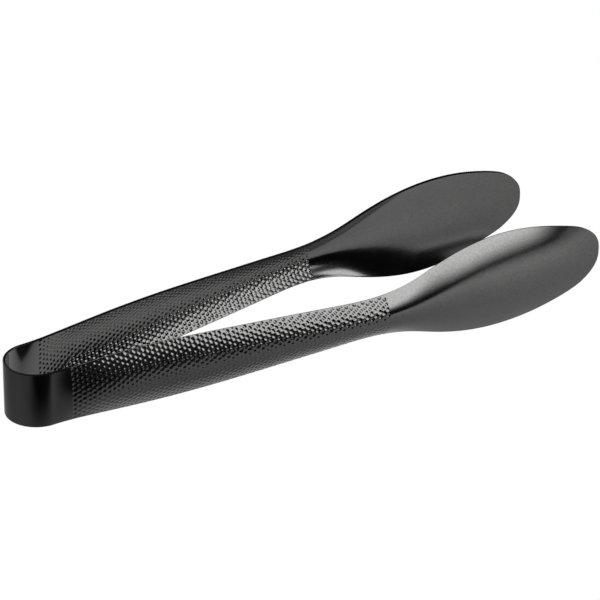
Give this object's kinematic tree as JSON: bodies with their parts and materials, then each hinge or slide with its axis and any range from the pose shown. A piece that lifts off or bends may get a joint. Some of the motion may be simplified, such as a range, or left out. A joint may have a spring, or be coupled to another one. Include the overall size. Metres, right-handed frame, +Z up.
{
  "type": "serving tongs",
  "caption": "One-strip spring serving tongs in black stainless steel: a U-shaped spring bow, hammered channel arms and shallow oval spoon blades facing each other.",
  "frame": {"origin": "centre of the bounding box in plan, at the lowest edge of the blades", "axes": "+X from the spring bow to the blade tips, +Y from the right arm to the left arm, +Z up across the width of the strip"},
  "size_m": [0.245, 0.0592, 0.039],
  "materials": {
    "bow_steel": "black coated stainless steel, satin smooth",
    "hammered_steel": "black coated stainless steel, fine hammered dimples",
    "blade_steel": "black coated stainless steel, fine satin grain"
  },
  "bodies": {
    "bow": {"spring_bow": "bow_steel"},
    "right_arm": {"right_handle": "hammered_steel", "right_blade": "blade_steel"},
    "left_arm": {"left_handle": "hammered_steel", "left_blade": "blade_steel"}
  },
  "joints": [
    {"name": "right_arm_flex", "type": "hinge", "parent": "bow", "child": "right_arm", "pos_m": [-0.11814, -0.00764, 0.0196], "axis": [0, 0, 1], "range_deg": [-2, 6], "stiffness_Nm_per_rad": 15},
    {"name": "left_arm_flex", "type": "hinge", "parent": "bow", "child": "left_arm", "pos_m": [-0.11814, 0.00764, 0.0196], "axis": [0, 0, 1], "range_deg": [-6, 2], "stiffness_Nm_per_rad": 15}
  ],
  "couplings": [
    {"joint": "left_arm_flex", "follows": "right_arm_flex", "ratio": -1}
  ]
}
